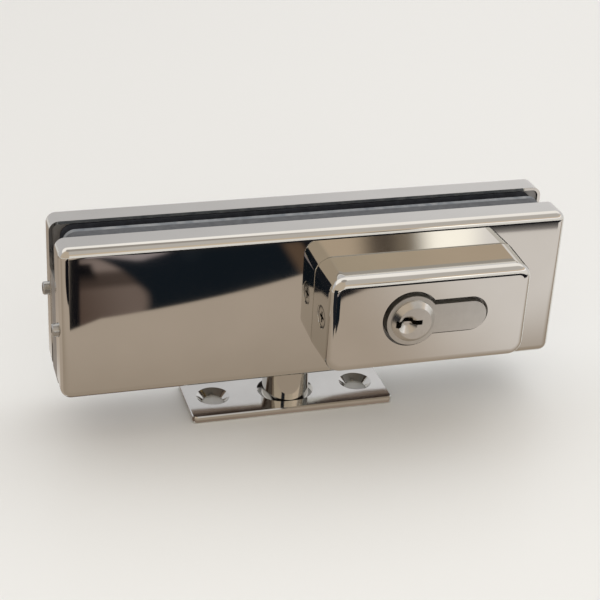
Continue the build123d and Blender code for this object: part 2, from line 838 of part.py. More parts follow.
with BuildPart() as cylinder_body:
    add(profile_bar(0, cylinder_face, cylinder_end))
    with BuildSketch(facing_front(cam_centre_y + cam_slot / 2)):
        with Locations((plug_x, plug_z)):
            Rectangle(2 * cam_slot_reach, 2 * cam_slot_reach)
    extrude(amount=cam_slot, mode=Mode.SUBTRACT)
    add(
        cylinder_along_y(
            plug_x, plug_z, plug_radius + plug_clearance, cylinder_face, cam_centre_y - cam_slot / 2
        ),
        mode=Mode.SUBTRACT,
    )
    add(
        cylinder_along_y(
            plug_x,
            plug_z,
            spigot_diameter / 2 + circlip_width + rack_clearance,
            cam_centre_y + cam_slot / 2,
            cam_centre_y + spigot_length - rack_clearance,
        ),
        mode=Mode.SUBTRACT,
    )
    for y in stack_y:
        add(along_tail(y, plug_radius - bore_overlap, tail_end - plug_x, stack_radius), mode=Mode.SUBTRACT)
    add(
        along_tail(
            cam_centre_y,
            tail_end - plug_x - cylinder_screw_in_tail,
            cylinder_screw_in_tail,
            cylinder_screw_shank / 2,
        ),
        mode=Mode.SUBTRACT,
    )
finish(cylinder_body, "cylinder_body")

with BuildPart() as cylinder_screw:
    add(
        countersunk(
            (case_right, cam_centre_y, plug_z),
            (1, 0, 0),
            cylinder_screw_head,
            cylinder_screw_shank,
            case_right - tail_end + cylinder_screw_in_tail - end_gap,
            cylinder_screw_socket,
        )
    )
finish(cylinder_screw, "cylinder_screw")

# Plug: bevelled face flange, zigzag keyway along its length, and a flatted spigot for the cam
spigot_plane = facing_front(plug_end)
with BuildPart() as cylinder_plug:
    with BuildSketch(spigot_plane):
        with Locations((plug_x, plug_z)):
            Circle(plug_radius)
    extrude(amount=plug_end - cylinder_face)
    with BuildSketch(facing_front(cylinder_face)):
        with Locations((plug_x, plug_z)):
            Circle(flange_diameter / 2)
    extrude(amount=flange_thickness)
    rim_edge = cylinder_plug.edges().filter_by(GeomType.CIRCLE).group_by(Axis.Y)[0]
    chamfer(rim_edge, flange_bevel)
    face_y = cylinder_face - flange_thickness
    with BuildSketch(facing_front(face_y)):
        with Locations((plug_x + dimple_x, plug_z + dimple_z)):
            Circle(dimple_diameter / 2)
    with BuildSketch(facing_front(face_y + dimple_depth)):
        with Locations((plug_x + dimple_x, plug_z + dimple_z)):
            Circle(dimple_floor / 2)
    loft(mode=Mode.SUBTRACT)
    with BuildSketch(facing_front(face_y)):
        with BuildLine():
            Polyline(
                (plug_x - keyway_left, plug_z + keyway_bow_bottom),
                (plug_x - keyway_bow_end, plug_z + keyway_bow_bottom),
                (plug_x - keyway_bow_end + keyway_slant, plug_z + keyway_hump_bottom),
                (plug_x - keyway_hump_right, plug_z + keyway_hump_bottom),
                (plug_x - keyway_hump_right + keyway_slant, plug_z + keyway_blade_bottom),
                (plug_x + keyway_right, plug_z + keyway_blade_bottom),
                (plug_x + keyway_right, plug_z + keyway_blade_top),
                (plug_x - keyway_hump_right + keyway_slant, plug_z + keyway_blade_top),
                (plug_x - keyway_hump_right, plug_z + keyway_hump_top),
                (plug_x - keyway_hump_left, plug_z + keyway_hump_top),
                (plug_x - keyway_hump_left - keyway_slant, plug_z + keyway_bow_top),
                (plug_x - keyway_left, plug_z + keyway_bow_top),
                close=True,
            )
        make_face()
    extrude(amount=-(plug_end - face_y - keyway_end_wall), mode=Mode.SUBTRACT)
    for y in stack_y:
        add(along_tail(y, plug_bore_start, plug_radius, stack_radius), mode=Mode.SUBTRACT)
    with BuildSketch(spigot_plane):
        with Locations((plug_x, plug_z)):
            Circle(spigot_diameter / 2)
            with Locations((spigot_flat + spigot_diameter / 2, 0)):
                Rectangle(spigot_diameter, spigot_diameter, mode=Mode.SUBTRACT)
    extrude(amount=-spigot_length)
    with BuildSketch(facing_front(clip_front + circlip_thickness)):
        with Locations((plug_x, plug_z)):
            Circle(spigot_diameter / 2)
            Circle(spigot_diameter / 2 - groove_depth, mode=Mode.SUBTRACT)
    extrude(amount=circlip_thickness, mode=Mode.SUBTRACT)
finish(cylinder_plug, "cylinder_plug")

with BuildPart() as key_pins:
    for y in stack_y:
        add(along_tail(y, key_pin_inner, plug_radius - key_pin_inner - plug_clearance, pin_diameter / 2))
finish(key_pins, "key_pins")

driver_start = plug_radius + 2 * plug_clearance
cap_start = tail_end - plug_x - end_gap - cap_length
with BuildPart() as driver_pins:
    for y in stack_y:
        add(along_tail(y, driver_start, driver_length, pin_diameter / 2))
finish(driver_pins, "driver_pins")

with BuildPart() as pin_springs:
    for y in stack_y:
        spring_start = driver_start + driver_length
        add(along_tail(y, spring_start, cap_start - spring_start, pin_diameter / 2))
        add(
            along_tail(y, spring_start, cap_start - spring_start, pin_diameter / 2 - spring_wall),
            mode=Mode.SUBTRACT,
        )
finish(pin_springs, "pin_springs")

with BuildPart() as stack_caps:
    for y in stack_y:
        add(along_tail(y, cap_start, cap_length, stack_radius))
finish(stack_caps, "stack_caps")

# Toothed cam on the plug's spigot, held by a clip
wheel_dedendum = dedendum_factor * wheel_module
with BuildPart() as cylinder_cam:
    with BuildSketch(facing_front(cam_rear)):
        with BuildLine():
            gear_outline(cam_teeth, wheel_module, (plug_x, plug_z), mesh_angle, wheel_module, wheel_dedendum)
        make_face()
        with Locations((plug_x, plug_z)):
            Circle(spigot_diameter / 2 + cam_bore_clearance, mode=Mode.SUBTRACT)
    extrude(amount=cam_width)
finish(cylinder_cam, "cylinder_cam")

with BuildPart() as cam_clip:
    with BuildSketch(facing_front(clip_front + circlip_thickness)):
        with Locations((plug_x, plug_z)):
            Circle(spigot_diameter / 2 + circlip_width)
            Circle(spigot_diameter / 2 - groove_depth, mode=Mode.SUBTRACT)
            with Locations((-spigot_diameter / 2, 0)):
                Rectangle(spigot_diameter, circlip_mouth, mode=Mode.SUBTRACT)
    extrude(amount=circlip_thickness)
finish(cam_clip, "cam_clip")

# Reduction gear: wheel, hub and pinion in one piece on a fixed axle
wheel_tooth_at = mesh_angle + 180 + 180 / wheel_teeth
pinion_dedendum = dedendum_factor * rack_module
with BuildPart() as reduction_gear:
    with BuildSketch(facing_front(wheel_rear)):
        with BuildLine():
            gear_outline(
                wheel_teeth, wheel_module, (gear_x, gear_z), wheel_tooth_at, wheel_module, wheel_dedendum
            )
        make_face()
    extrude(amount=wheel_rear - wheel_front)
    with BuildSketch(facing_front(wheel_front)):
        with Locations((gear_x, gear_z)):
            Circle(hub_diameter / 2)
    extrude(amount=wheel_front - pinion_rear)
    with BuildSketch(facing_front(pinion_rear)):
        with BuildLine():
            gear_outline(pinion_teeth, rack_module, (gear_x, gear_z), 180, rack_module, pinion_dedendum)
        make_face()
    extrude(amount=pinion_rear - pinion_front)
    add(
        cylinder_along_y(gear_x, gear_z, axle_diameter / 2 + axle_clearance, pinion_front, wheel_rear),
        mode=Mode.SUBTRACT,
    )
finish(reduction_gear, "reduction_gear")

with BuildPart() as gear_axle:
    add(cylinder_along_y(gear_x, gear_z, axle_diameter / 2, body_front + axle_blind, rim))
finish(gear_axle, "gear_axle")

# Bolt with a flat for the rack's foot
with BuildPart() as bolt:
    with BuildSketch(Plane.XY.offset(bolt_floor_clearance)):
        Circle(bolt_radius)
    extrude(amount=bolt_top - bolt_floor_clearance)
    chamfer(bolt.edges().filter_by(GeomType.CIRCLE), bolt_chamfer)
    with BuildSketch(facing_front(rack_foot_rear)):
        with Locations((0, cover_bottom + rack_bottom + bolt_inside / 2)):
            Rectangle(bolt_diameter, bolt_inside)
    extrude(amount=bolt_radius, mode=Mode.SUBTRACT)
    for height in rack_screw_heights:
        add(
            cylinder_along_y(
                0, cover_bottom + height, rack_screw_shank / 2, rack_foot_rear, rack_front + rack_screw_length
            ),
            mode=Mode.SUBTRACT,
        )
finish(bolt, "bolt")


def rack_outline():
    """Toothed right edge and plain left edge of the rack, drawn upwards from its lowest tooth."""
    pitch = pi * rack_module
    slope = tan(radians(pressure_angle))
    half_at_line = pitch / 4 - backlash / 4
    tip_half = half_at_line - rack_addendum * slope
    root_half = half_at_line + rack_dedendum * slope
    low = cover_bottom + rack_bottom
    high = cover_bottom + rack_top
    points = [(rack_left, high), (rack_left, low), (rack_line - rack_dedendum, low)]
    first = int((low - gear_z) / pitch) - 1
    last = int((high - gear_z) / pitch) + 1
    for k in range(first, last + 1):
        centre = gear_z + (k + 0.5) * pitch
        if centre - root_half > low and centre + root_half < high:
            points += [
                (rack_line - rack_dedendum, centre - root_half),
                (rack_line + rack_addendum, centre - tip_half),
                (rack_line + rack_addendum, centre + tip_half),
                (rack_line - rack_dedendum, centre + root_half),
            ]
    points.append((rack_line - rack_dedendum, high))
    Polyline(*points, close=True)


with BuildPart() as bolt_rack:
    with BuildSketch(facing_front(rack_rear)):
        with BuildLine():
            rack_outline()
        make_face()
    extrude(amount=rack_rear - rack_front)
    with BuildSketch(facing_front(rack_foot_rear)):
        with Locations((0, (cover_bottom + rack_bottom + bolt_top) / 2)):
            Rectangle(2 * rack_foot_half, bolt_top - cover_bottom - rack_bottom)
    extrude(amount=rack_foot_rear - rack_rear)
    for height in rack_screw_heights:
        add(
            bored_countersink(
                (0, rack_front, cover_bottom + height),
                (0, -1, 0),
                rack_screw_head,
                rack_screw_shank,
                rack_foot_rear - rack_front,
                0,
            ),
            mode=Mode.SUBTRACT,
        )
finish(bolt_rack, "bolt_rack")

with BuildPart() as rack_screws:
    for height in rack_screw_heights:
        add(
            countersunk(
                (0, rack_front, cover_bottom + height),
                (0, -1, 0),
                rack_screw_head,
                rack_screw_shank,
                rack_screw_length - end_gap,
                rack_screw_socket,
            )
        )
finish(rack_screws, "rack_screws")
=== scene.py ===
from math import cos, radians, sin

import bpy
from mathutils import Matrix, Vector

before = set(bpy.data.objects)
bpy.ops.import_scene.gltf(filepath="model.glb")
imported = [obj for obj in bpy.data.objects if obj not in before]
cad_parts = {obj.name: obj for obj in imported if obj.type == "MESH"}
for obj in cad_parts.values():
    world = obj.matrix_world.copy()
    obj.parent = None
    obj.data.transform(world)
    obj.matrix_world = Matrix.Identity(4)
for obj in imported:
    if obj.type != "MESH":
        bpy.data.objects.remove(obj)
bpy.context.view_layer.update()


# Places on the lock at rest that the cards and the screw's look are set from, in metres
PLATE_LEFT = -0.034
PLATE_FRONT = -0.012
COVER_LEFT = -0.0765
COVER_BOTTOM = 0.0157
SCREW_Y = -0.0234
SCREW_Z = 0.0419


# Nodes that every material is built from
def empty_material(name):
    m = bpy.data.materials.new(name)
    m.use_nodes = True
    m.node_tree.nodes.clear()
    return m, m.node_tree


def new_material(name):
    m, nt = empty_material(name)
    out = nt.nodes.new("ShaderNodeOutputMaterial")
    b = nt.nodes.new("ShaderNodeBsdfPrincipled")
    nt.links.new(b.outputs["BSDF"], out.inputs["Surface"])
    return m, nt, b


def noise(nt, scale, detail=2.0):
    """Noise in the piece's own coordinates."""
    co = nt.nodes.new("ShaderNodeTexCoord")
    n = nt.nodes.new("ShaderNodeTexNoise")
    n.inputs["Scale"].default_value = scale
    n.inputs["Detail"].default_value = detail
    nt.links.new(co.outputs["Object"], n.inputs["Vector"])
    return n.outputs["Fac"]


def ramp(nt, fac, stops):
    r = nt.nodes.new("ShaderNodeValToRGB")
    e = r.color_ramp.elements
    e[0].position, e[0].color = stops[0][0], (*stops[0][1], 1)
    e[1].position, e[1].color = stops[-1][0], (*stops[-1][1], 1)
    for p, c in stops[1:-1]:
        k = e.new(p)
        k.color = (*c, 1)
    nt.links.new(fac, r.inputs["Fac"])
    return r.outputs["Color"]


TONE_START = 0.3
TONE_END = 0.7


def two_tones(nt, fac, dark, light):
    return ramp(nt, fac, [(TONE_START, dark), (TONE_END, light)])


def rough(nt, b, fac, low, high):
    r = nt.nodes.new("ShaderNodeMapRange")
    r.inputs["To Min"].default_value = low
    r.inputs["To Max"].default_value = high
    nt.links.new(fac, r.inputs["Value"])
    nt.links.new(r.outputs["Result"], b.inputs["Roughness"])


def bump(nt, b, fac, strength, distance):
    n = nt.nodes.new("ShaderNodeBump")
    n.inputs["Strength"].default_value = strength
    n.inputs["Distance"].default_value = distance
    nt.links.new(fac, n.inputs["Height"])
    nt.links.new(n.outputs["Normal"], b.inputs["Normal"])


# Metals and soft strips
METAL_DETAIL = 3.0
WAVE_SCALE = 20.0
WAVE_DETAIL = 1.0
SOFT_DETAIL = 4.0
SOFT_ROUGHNESS = (0.75, 0.9)
SOFT_GRAIN = 0.0001
SOFT_BUMP = 0.5


def metal(name, dark, light, low, high, scale, wave=0.0):
    """A metal with a roughness between low and high; wave is the height of a large, flat unevenness."""
    m, nt, b = new_material(name)
    b.inputs["Metallic"].default_value = 1.0
    f = noise(nt, scale, METAL_DETAIL)
    nt.links.new(two_tones(nt, f, dark, light), b.inputs["Base Color"])
    rough(nt, b, f, low, high)
    if wave:
        bump(nt, b, noise(nt, WAVE_SCALE, WAVE_DETAIL), 1.0, wave)
    return m


def soft(name, dark, light, scale):
    m, nt, b = new_material(name)
    f = noise(nt, scale, SOFT_DETAIL)
    nt.links.new(two_tones(nt, f, dark, light), b.inputs["Base Color"])
    rough(nt, b, f, *SOFT_ROUGHNESS)
    bump(nt, b, f, SOFT_BUMP, SOFT_GRAIN)
    return m


polished = metal("polished", (0.66, 0.645, 0.61), (0.70, 0.685, 0.65), 0.03, 0.06, 40.0, wave=0.00002)
polished_plate = metal("polished_plate", (0.66, 0.655, 0.63), (0.72, 0.715, 0.69), 0.07, 0.12, 60.0)
satin = metal("satin", (0.58, 0.57, 0.54), (0.64, 0.63, 0.60), 0.26, 0.34, 300.0)
satin_face = metal("satin_face", (0.62, 0.61, 0.58), (0.68, 0.67, 0.64), 0.2, 0.3, 400.0)
cast = metal("cast", (0.38, 0.38, 0.38), (0.48, 0.48, 0.48), 0.42, 0.6, 150.0)
steel = metal("steel", (0.46, 0.46, 0.45), (0.56, 0.56, 0.55), 0.22, 0.34, 200.0)
brass = metal("brass", (0.56, 0.42, 0.16), (0.66, 0.50, 0.22), 0.2, 0.32, 120.0)
spring = metal("spring", (0.34, 0.34, 0.35), (0.44, 0.44, 0.45), 0.25, 0.35, 200.0)
rubber = soft("rubber", (0.016, 0.019, 0.026), (0.03, 0.034, 0.045), 400.0)
packing_grey = soft("packing_grey", (0.075, 0.08, 0.09), (0.11, 0.118, 0.13), 500.0)
packing_light = soft("packing_light", (0.13, 0.15, 0.175), (0.27, 0.285, 0.30), 350.0)

# The housing screw's head, all painted light: painted shade over the cross recess in the middle, a
# painted highlight ring round it and a painted shade ring at the rim where the head meets the housing
HEAD_PAINTED_LIGHT_RADIUS = 0.004
HEAD_PAINTED_LIGHT_TONES = [
    (0.0, (0.10, 0.09, 0.085)),
    (0.45, (0.62, 0.60, 0.56)),
    (0.68, (0.58, 0.56, 0.52)),
    (0.80, (0.06, 0.055, 0.05)),
    (1.0, (0.05, 0.045, 0.04)),
]
HEAD_ROUGHNESS = (0.15, 0.25)
HEAD_NOISE_SCALE = 300.0


def make_head_painted_light():
    m, nt, b = new_material("head_painted_light")
    b.inputs["Metallic"].default_value = 1.0
    co = nt.nodes.new("ShaderNodeTexCoord")
    mp = nt.nodes.new("ShaderNodeMapping")
    mp.inputs["Location"].default_value = (0.0, -SCREW_Y, -SCREW_Z)
    mp.inputs["Scale"].default_value = (0.0, 1.0, 1.0)
    far = nt.nodes.new("ShaderNodeVectorMath")
    far.operation = "LENGTH"
    nt.links.new(co.outputs["Object"], mp.inputs["Vector"])
    nt.links.new(mp.outputs["Vector"], far.inputs[0])
    rim = nt.nodes.new("ShaderNodeMapRange")
    rim.inputs["From Max"].default_value = HEAD_PAINTED_LIGHT_RADIUS
    nt.links.new(far.outputs["Value"], rim.inputs["Value"])
    # Painted shade in the middle and at the rim, with a painted highlight ring between
    nt.links.new(ramp(nt, rim.outputs["Result"], HEAD_PAINTED_LIGHT_TONES), b.inputs["Base Color"])
    rough(nt, b, noise(nt, HEAD_NOISE_SCALE), *HEAD_ROUGHNESS)
    return m


head_painted_light = make_head_painted_light()

LOOKS = {
    "strike_plate": polished_plate, "bolt": polished, "bolt_guide": brass, "bolt_rack": steel,
    "rack_screws": steel, "front_cover": polished, "rear_cover": polished, "cylinder_housing": polished,
    "housing_screw": head_painted_light, "cylinder_carrier": cast, "carrier_screws": steel, "front_clamp": cast,
    "rear_clamp": cast, "lock_case": cast, "case_back_plate": steel, "case_screws": steel,
    "clamp_screws": steel, "cover_set_screws": steel, "front_gasket": rubber, "rear_gasket": rubber,
    "packing_strip_front": packing_grey, "packing_strip_rear": packing_light, "cylinder_body": satin,
    "cylinder_plug": satin_face, "cylinder_screw": steel, "key_pins": brass, "driver_pins": brass,
    "pin_springs": spring, "stack_caps": brass, "cylinder_cam": steel, "cam_clip": spring,
    "reduction_gear": steel, "gear_axle": steel,
}
for name, look in LOOKS.items():
    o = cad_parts[name]
    o.data.materials.clear()
    o.data.materials.append(look)


# Stage
def flat(name, corners, material):
    me = bpy.data.meshes.new(name)
    me.from_pydata(corners, [], [list(range(len(corners)))])
    me.materials.append(material)
    o = bpy.data.objects.new(name, me)
    bpy.context.collection.objects.link(o)
    return o


def lying(left, right, front, rear, height):
    """The corners of a rectangle that lies face up."""
    return [(left, front, height), (right, front, height), (right, rear, height), (left, rear, height)]


FLOOR_REACH = 6.0
FLOOR_SCALE = 0.8
FLOOR_ROUGHNESS = 0.3
FLOOR_SPECULAR = 0.25


def floor_material():
    m, nt, b = new_material("floor")
    tone = two_tones(nt, noise(nt, FLOOR_SCALE), (0.80, 0.82, 0.82), (0.82, 0.84, 0.84))
    nt.links.new(tone, b.inputs["Base Color"])
    b.inputs["Roughness"].default_value = FLOOR_ROUGHNESS
    b.inputs["Specular IOR Level"].default_value = FLOOR_SPECULAR
    return m


flat("floor", lying(-FLOOR_REACH, FLOOR_REACH, -FLOOR_REACH, FLOOR_REACH, 0.0), floor_material())


# Glowing cards that only reflections see, which paint the reflections. They stand for the photographer's
# table and room.
MIX_TONES = (6, 7)
MIX_RESULT = 2


class Field:
    """Numbers and tones worked out from a place on a card, or from a direction of the world."""

    def __init__(self, nt, coordinates="Object"):
        self.nt = nt
        co = nt.nodes.new("ShaderNodeTexCoord")
        sep = nt.nodes.new("ShaderNodeSeparateXYZ")
        nt.links.new(co.outputs[coordinates], sep.inputs["Vector"])
        self.x, self.y, self.z = sep.outputs["X"], sep.outputs["Y"], sep.outputs["Z"]

    def do(self, operation, *values):
        n = self.nt.nodes.new("ShaderNodeMath")
        n.operation = operation
        for i, v in enumerate(values):
            if isinstance(v, (int, float)):
                n.inputs[i].default_value = v
            else:
                self.nt.links.new(v, n.inputs[i])
        return n.outputs["Value"]

    def add(self, a, b):
        return self.do("ADD", a, b)

    def times(self, a, b):
        """A product, or of two masks what lies in both."""
        return self.do("MULTIPLY", a, b)

    def step(self, v, start, end):
        """0 at start, 1 at end, smooth between."""
        n = self.nt.nodes.new("ShaderNodeMapRange")
        n.interpolation_type = "SMOOTHSTEP"
        n.inputs["From Min"].default_value = min(start, end)
        n.inputs["From Max"].default_value = max(start, end)
        n.inputs["To Min"].default_value = 0.0 if start < end else 1.0
        n.inputs["To Max"].default_value = 1.0 if start < end else 0.0
        self.nt.links.new(v, n.inputs["Value"])
        return n.outputs["Result"]

    def mix(self, a, b, fac):
        """Tone a where fac is 0 and tone b where it is 1."""
        n = self.nt.nodes.new("ShaderNodeMix")
        n.data_type = "RGBA"
        self.nt.links.new(fac, n.inputs["Factor"])
        for i, v in zip(MIX_TONES, (a, b)):
            if isinstance(v, tuple):
                n.inputs[i].default_value = (*v, 1)
            else:
                self.nt.links.new(v, n.inputs[i])
        return n.outputs[MIX_RESULT]

    def stripes(self, tone, v, changes):
        """Lay each change's tone over the one before it, from its start to its end along v."""
        for start, end, other in changes:
            tone = self.mix(tone, other, self.step(v, start, end))
        return tone


def one_sided(nt, colour):
    """Glow on the upper side only."""
    out = nt.nodes.new("ShaderNodeOutputMaterial")
    e = nt.nodes.new("ShaderNodeEmission")
    e.inputs["Strength"].default_value = 1.0
    nt.links.new(colour, e.inputs["Color"])
    clear = nt.nodes.new("ShaderNodeBsdfTransparent")
    side = nt.nodes.new("ShaderNodeNewGeometry")
    mx = nt.nodes.new("ShaderNodeMixShader")
    nt.links.new(side.outputs["Backfacing"], mx.inputs["Fac"])
    nt.links.new(e.outputs["Emission"], mx.inputs[1])
    nt.links.new(clear.outputs["BSDF"], mx.inputs[2])
    nt.links.new(mx.outputs["Shader"], out.inputs["Surface"])


def card(name, corners, paint):
    """A card that only reflections see, with the tone that paint works out."""
    m, nt = empty_material(name)
    one_sided(nt, paint(Field(nt)))
    o = flat(name, corners, m)
    o.visible_camera = False
    o.visible_diffuse = False
    o.visible_shadow = False
    o.visible_transmission = False


# Tones of the painted reflections of the table and of what stands on it
BEIGE = (0.50, 0.42, 0.345)
BEIGE_BRIGHT = (0.84, 0.79, 0.755)
BEIGE_NEAR = (0.40, 0.33, 0.26)
BEIGE_FAR = (0.36, 0.30, 0.245)
FLOOR_TONE = (0.80, 0.79, 0.77)
BLACK = (0.008, 0.012, 0.017)
BLACK_SMOKE = (0.05, 0.056, 0.066)
BLACK_EDGE = (0.006, 0.006, 0.008)
BROWN = (0.185, 0.14, 0.12)
BROWN_LEFT = (0.10, 0.067, 0.053)
BROWN_STREAK = (0.26, 0.205, 0.185)
BROWN_SWEEP = (0.035, 0.024, 0.02)
BROWN_SPOT = (0.006, 0.006, 0.007)
LILAC = (0.33, 0.285, 0.29)

# The beige region, a painted reflection of the floor in shade: where it brightens to the right, where it
# darkens with painted shade near the lock, and the line of its far edge
BEIGE_BRIGHTENS = (0.035, 0.105)
BEIGE_SHADE_NEARS = (-0.02, -0.085)
EDGE_AWAY = 0.1036
EDGE_SLOPE = 0.29
EDGE_CURVE = 1.6
EDGE_BLUR = 0.0008
DIP_RIGHT = -0.0515
DIP_WIDTH = 0.015
DIP_SLOPE = 0.45
BULGE = 0.007
BULGE_RISES = (0.03, 0.042)
BULGE_FALLS = (0.05, 0.08)
BULGE_FALL = 0.6
CORNER_STEP = 0.022
CORNER_STEPS = (-0.068, -0.08)


def beige_far_edge(f):
    """Under 0 beyond the beige region's far edge and over 0 on the beige region."""
    bow = f.times(f.x, f.add(f.times(f.x, EDGE_CURVE), EDGE_SLOPE))
    edge = f.add(f.add(f.y, EDGE_AWAY), bow)
    dip = f.do("MINIMUM", f.do("MAXIMUM", f.do("SUBTRACT", DIP_RIGHT, f.x), 0.0), DIP_WIDTH)
    edge = f.do("SUBTRACT", edge, f.times(dip, DIP_SLOPE))
    fall = f.times(f.step(f.x, *BULGE_FALLS), BULGE_FALL)
    edge = f.add(edge, f.times(f.do("SUBTRACT", f.step(f.x, *BULGE_RISES), fall), BULGE))
    return f.add(edge, f.times(f.step(f.x, *CORNER_STEPS), CORNER_STEP))


# The brown patch at the far left, with its streak, its dark sweep and its spot
BROWN_TURNS = (-0.062, -0.036)
STREAK_Y = (-0.124, -0.134)
STREAK_X = (-0.056, -0.048)
SWEEP_NEAR = (-0.1135, -0.120)
SWEEP_FAR = (-0.1325, -0.1265)
SWEEP_DEPTH = 0.7
SPOT_X = (-0.0462, -0.0495)
SPOT_NEAR = (-0.119, -0.130)
SPOT_FAR = (-0.139, -0.136)


def brown_patch(f):
    brown = f.mix(BROWN_LEFT, BROWN, f.step(f.x, *BROWN_TURNS))
    streak = f.times(f.step(f.y, *STREAK_Y), f.step(f.x, *STREAK_X))
    brown = f.mix(brown, BROWN_STREAK, streak)
    sweep = f.times(f.step(f.y, *SWEEP_NEAR), f.step(f.y, *SWEEP_FAR))
    brown = f.mix(brown, BROWN_SWEEP, f.times(sweep, SWEEP_DEPTH))
    spot = f.times(f.step(f.x, *SPOT_X), f.times(f.step(f.y, *SPOT_NEAR), f.step(f.y, *SPOT_FAR)))
    return f.mix(brown, BROWN_SPOT, spot)


# The black patch in the painted reflection, mottled by smoky noise, and the arc of its left side, which
# is a parabola in y
SMOKE_SCALE = 22.0
SMOKE_DETAIL = 1.5
SMOKE_SHOWS = (0.52, 0.72)
ARC_X = -0.032
ARC_Y = -0.11
ARC_CURVE = 12.3
ARC_SHIFT = 0.0012
ARC_SHIFTS = (-0.108, -0.118)
ARC_BLUR = (-0.002, 0.003)


def black_patch(f):
    smoke = noise(f.nt, SMOKE_SCALE, SMOKE_DETAIL)
    return f.mix(BLACK, BLACK_SMOKE, f.step(smoke, *SMOKE_SHOWS))


def inside_arc(f):
    away = f.do("SUBTRACT", f.y, ARC_Y)
    arc = f.do("SUBTRACT", f.add(f.x, f.times(f.times(away, away), ARC_CURVE)), ARC_X)
    arc = f.add(arc, f.times(f.step(f.y, *ARC_SHIFTS), ARC_SHIFT))
    return f.step(arc, *ARC_BLUR)


# To the right of the black patch: wood, a dark gap, a taupe strip and a window
RIGHT_OF_BLACK_PATCH = (
    (0.0275, 0.033, (0.12, 0.078, 0.052)),
    (0.0365, 0.0395, (0.01, 0.01, 0.012)),
    (0.044, 0.053, (0.28, 0.22, 0.18)),
    (0.055, 0.085, (1.25, 1.2, 1.18)),
    (0.095, 0.115, (0.92, 0.87, 0.86)),
)
FAR_DARK = ((-0.138, -0.147, (0.02, 0.02, 0.022)),)

# A lilac patch beyond the sheet, whose near edge is a shallow V
LILAC_X = -0.029
LILAC_SLOPE = 0.43
LILAC_FLAT = 0.0006
LILAC_Y = -0.1352
LILAC_BLUR = (0.0, -0.0037)
LILAC_RIGHT = (-0.012, -0.02)


def lilac_patch(f):
    away = f.do("ABSOLUTE", f.do("SUBTRACT", f.x, LILAC_X))
    depth = f.do("MAXIMUM", f.do("SUBTRACT", f.times(away, LILAC_SLOPE), LILAC_FLAT), 0.0)
    near_edge = f.add(f.do("SUBTRACT", f.y, LILAC_Y), depth)
    return f.times(f.step(near_edge, *LILAC_BLUR), f.step(f.x, *LILAC_RIGHT))


# The left end: a slanted black strip and beige again, then a straight black strip and beige
SLANT = 0.149
SLANT_Y = -0.1072
SLANTED_STRIPS = ((-0.0563, -0.0573, BLACK_EDGE), (-0.0606, -0.0613, BEIGE))
STRAIGHT_STRIPS = ((-0.07, -0.076, BLACK_EDGE), (-0.12, -0.15, BEIGE))


def beyond_beige(f):
    dark = f.mix(brown_patch(f), black_patch(f), inside_arc(f))
    dark = f.stripes(dark, f.x, RIGHT_OF_BLACK_PATCH)
    dark = f.stripes(dark, f.y, FAR_DARK)
    dark = f.mix(dark, LILAC, lilac_patch(f))
    slanted = f.add(f.x, f.times(f.do("SUBTRACT", f.y, SLANT_Y), SLANT))
    dark = f.stripes(dark, slanted, SLANTED_STRIPS)
    return f.stripes(dark, f.x, STRAIGHT_STRIPS)


# The shade at the far right, which gives the band under the front cover's upper edge
SHADE_Y = (-0.1352, -0.1362)
SHADE_X = (0.088, 0.104)
SHADE_DEEPENS = (-0.1357, -0.1432)
SHADE_NEAR = (0.31, 0.285, 0.27)
SHADE_FAR = (0.012, 0.012, 0.015)


def table_front(f):
    beige = f.mix(BEIGE, BEIGE_BRIGHT, f.step(f.x, *BEIGE_BRIGHTENS))
    # Painted shade: the beige darkens near the lock
    near = f.mix(BEIGE_NEAR, beige, f.step(f.y, *BEIGE_SHADE_NEARS))
    beige_and_beyond = f.mix(near, beyond_beige(f), f.step(beige_far_edge(f), EDGE_BLUR, -EDGE_BLUR))
    shade = f.mix(SHADE_NEAR, SHADE_FAR, f.step(f.y, *SHADE_DEEPENS))
    return f.mix(beige_and_beyond, shade, f.times(f.step(f.y, *SHADE_Y), f.step(f.x, *SHADE_X)))


TABLE_HEIGHT = 0.001
TABLE_REACH = 0.5
PLATE_GAP = 0.0005
TABLE_END = PLATE_FRONT - PLATE_GAP
card("table_front", lying(-TABLE_REACH, TABLE_REACH, -TABLE_REACH, TABLE_END, TABLE_HEIGHT), table_front)

# In front of the strike plate, a painted reflection for its front edge
LOW_HEIGHT = 0.0002
STRIP_REACH = 0.06
STRIP_FRONT = -0.03
STRIP_GAP = 0.0002
STRIP_REAR = PLATE_FRONT - STRIP_GAP
STRIP_TURNS = (0.0, -0.04)
STRIP_TONES = ((0.32, 0.25, 0.20), (0.26, 0.20, 0.155))


def near_strip(f):
    return f.mix(*STRIP_TONES, f.step(f.x, *STRIP_TURNS))


card("near_strip", lying(-STRIP_REACH, STRIP_REACH, STRIP_FRONT, STRIP_REAR, LOW_HEIGHT), near_strip)

# Under the strike plate's slot, a painted reflection: painted shade under the bolt, painted light beside
# it
SLOT_HALF_LENGTH = 0.0094
SLOT_HALF_WIDTH = 0.008
SLOT_LIGHTENS = (0.0066, 0.0078)
SLOT_TONES = ((0.012, 0.010, 0.009), (0.55, 0.53, 0.51))


def slot_floor(f):
    return f.mix(*SLOT_TONES, f.step(f.do("ABSOLUTE", f.x), *SLOT_LIGHTENS))


slot_corners = lying(-SLOT_HALF_LENGTH, SLOT_HALF_LENGTH, -SLOT_HALF_WIDTH, SLOT_HALF_WIDTH, LOW_HEIGHT)
card("slot_floor", slot_corners, slot_floor)

# To the left of the strike plate, a painted reflection for its left end
COVER_GAP = 0.0015
LEFT_END = COVER_LEFT - COVER_GAP
NEAR_LEFT_REAR = 0.04
NEAR_LEFT_TURNS = (-0.01, 0.03)
NEAR_LEFT_TONES = ((0.16, 0.115, 0.09), (0.24, 0.18, 0.14))


